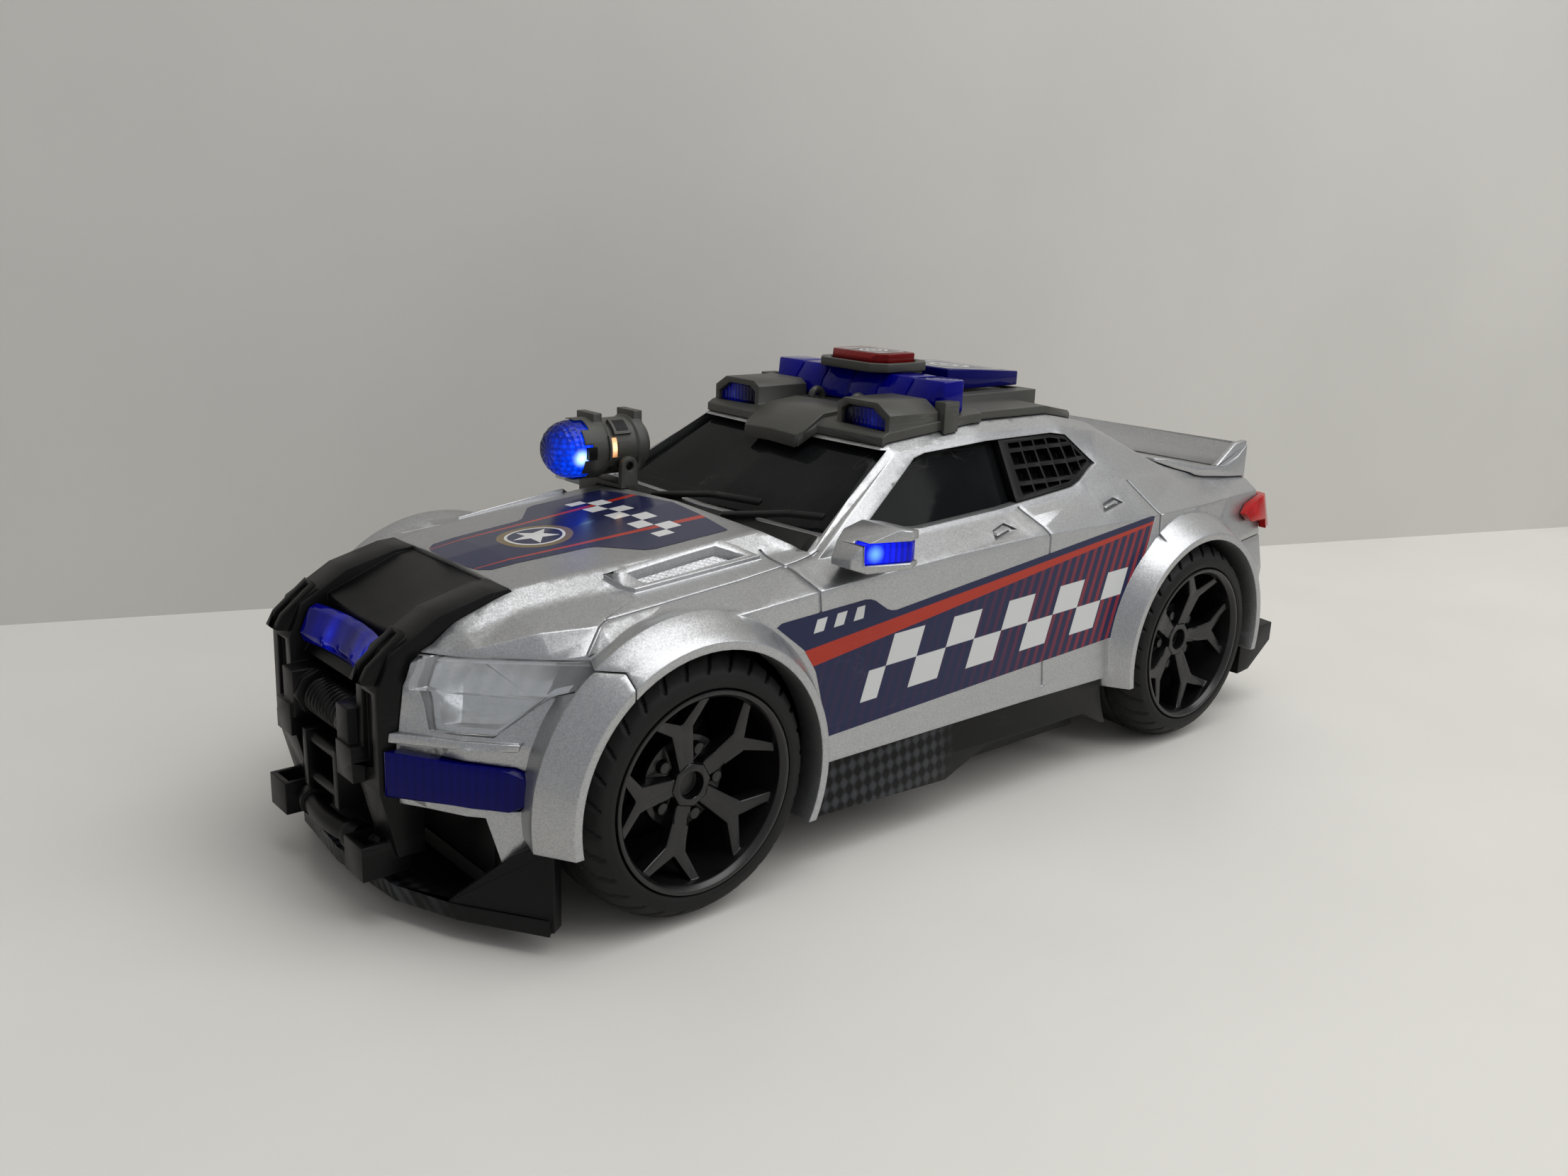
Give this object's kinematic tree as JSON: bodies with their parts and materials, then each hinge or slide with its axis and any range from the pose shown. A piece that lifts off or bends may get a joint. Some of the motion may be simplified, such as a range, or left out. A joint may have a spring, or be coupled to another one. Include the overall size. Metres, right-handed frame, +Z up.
{
  "type": "toy police car",
  "caption": "Large toy police car with a push bar and winch, roof light console with sprung buttons, tilting search lamp, free-rolling wheels and a battery bay under the chassis.",
  "frame": {"origin": "centre of the footprint on the ground, midway between the hook boxes at the nose and the diffuser at the tail", "axes": "+X to the car's left, +Y to its rear, +Z up"},
  "size_m": [0.1466, 0.3304, 0.1239],
  "materials": {
    "silver_body": "metallic silver",
    "black_plastic": "satin",
    "console_grey": "satin",
    "smoked_glass": "gloss",
    "blue_lens": "gloss",
    "red_lens": "gloss",
    "clear_lens": "gloss",
    "rim_black": "satin",
    "tyre_rubber": "matt",
    "steel": "bright",
    "cell_jacket": "satin",
    "board": "satin",
    "speaker_black": "matt"
  },
  "bodies": {
    "car": {"chassis_pan": "black_plastic", "body_shell": "silver_body", "front_bumper_left": "silver_body", "front_bumper_right": "silver_body", "rear_bumper": "silver_body", "glazing": "smoked_glass", "window_grille_left": "black_plastic", "window_grille_right": "black_plastic", "cowl_panel": "black_plastic", "roof_console": "console_grey", "lightbar_lens": "blue_lens", "pod_lens_left": "blue_lens", "pod_lens_right": "blue_lens", "red_button_spring": "steel", "siren_button_spring": "steel", "spoiler": "silver_body", "tail_light_left": "red_lens", "tail_light_right": "red_lens", "rear_diffuser": "black_plastic", "front_splitter": "black_plastic", "side_skirt_left": "black_plastic", "side_skirt_right": "black_plastic", "push_bar": "black_plastic", "push_bar_light": "blue_lens", "winch_drum": "black_plastic", "winch_rope": "black_plastic", "headlamp_lens_left": "clear_lens", "headlamp_lens_right": "clear_lens", "headlamp_base_left": "silver_body", "headlamp_base_right": "silver_body", "bumper_light_left": "blue_lens", "bumper_light_right": "blue_lens", "mirror_left": "silver_body", "mirror_right": "silver_body", "mirror_lens_left": "blue_lens", "mirror_lens_right": "blue_lens", "spot_bracket": "black_plastic", "spot_pin": "black_plastic", "batteries": "cell_jacket", "battery_contacts": "steel", "speaker": "speaker_black", "main_board": "board", "roof_board": "board", "body_screws": "steel"},
    "front_wheels": {"front_axle": "steel", "rim_front_left": "rim_black", "rim_front_right": "rim_black", "tyre_front_left": "tyre_rubber", "tyre_front_right": "tyre_rubber"},
    "rear_wheels": {"rear_axle": "steel", "rim_rear_left": "rim_black", "rim_rear_right": "rim_black", "tyre_rear_left": "tyre_rubber", "tyre_rear_right": "tyre_rubber"},
    "red_key": {"red_button": "red_lens"},
    "siren_key": {"siren_button": "blue_lens"},
    "power_switch": {"switch_knob": "black_plastic"},
    "cover": {"battery_cover": "black_plastic"},
    "search_lamp": {"spot_housing": "console_grey", "spot_lens": "blue_lens"}
  },
  "joints": [
    {"name": "front_axle_roll", "type": "hinge", "parent": "car", "child": "front_wheels", "pos_m": [0, -0.1, 0.033], "axis": [1, 0, 0], "continuous": true},
    {"name": "rear_axle_roll", "type": "hinge", "parent": "car", "child": "rear_wheels", "pos_m": [0, 0.1, 0.033], "axis": [1, 0, 0], "continuous": true},
    {"name": "red_button_press", "type": "slide", "parent": "car", "child": "red_key", "axis": [0, 0, -1], "range_m": [0, 0.0015], "stiffness_N_per_m": 1500, "springref_m": -0.0003, "deforming": ["red_button_spring"]},
    {"name": "siren_button_press", "type": "slide", "parent": "car", "child": "siren_key", "axis": [0, 0, -1], "range_m": [0, 0.0015], "stiffness_N_per_m": 1500, "springref_m": -0.0003, "deforming": ["siren_button_spring"]},
    {"name": "power_switch_slide", "type": "slide", "parent": "car", "child": "power_switch", "axis": [1, 0, 0], "range_m": [-0.003, 0.003]},
    {"name": "battery_cover_lift", "type": "slide", "parent": "car", "child": "cover", "axis": [0, 0, -1], "range_m": [0, 0.008]},
    {"name": "search_lamp_tilt", "type": "hinge", "parent": "car", "child": "search_lamp", "pos_m": [-0.036, -0.057, 0.0905], "axis": [1, 0, 0], "range_deg": [-10, 12]}
  ]
}
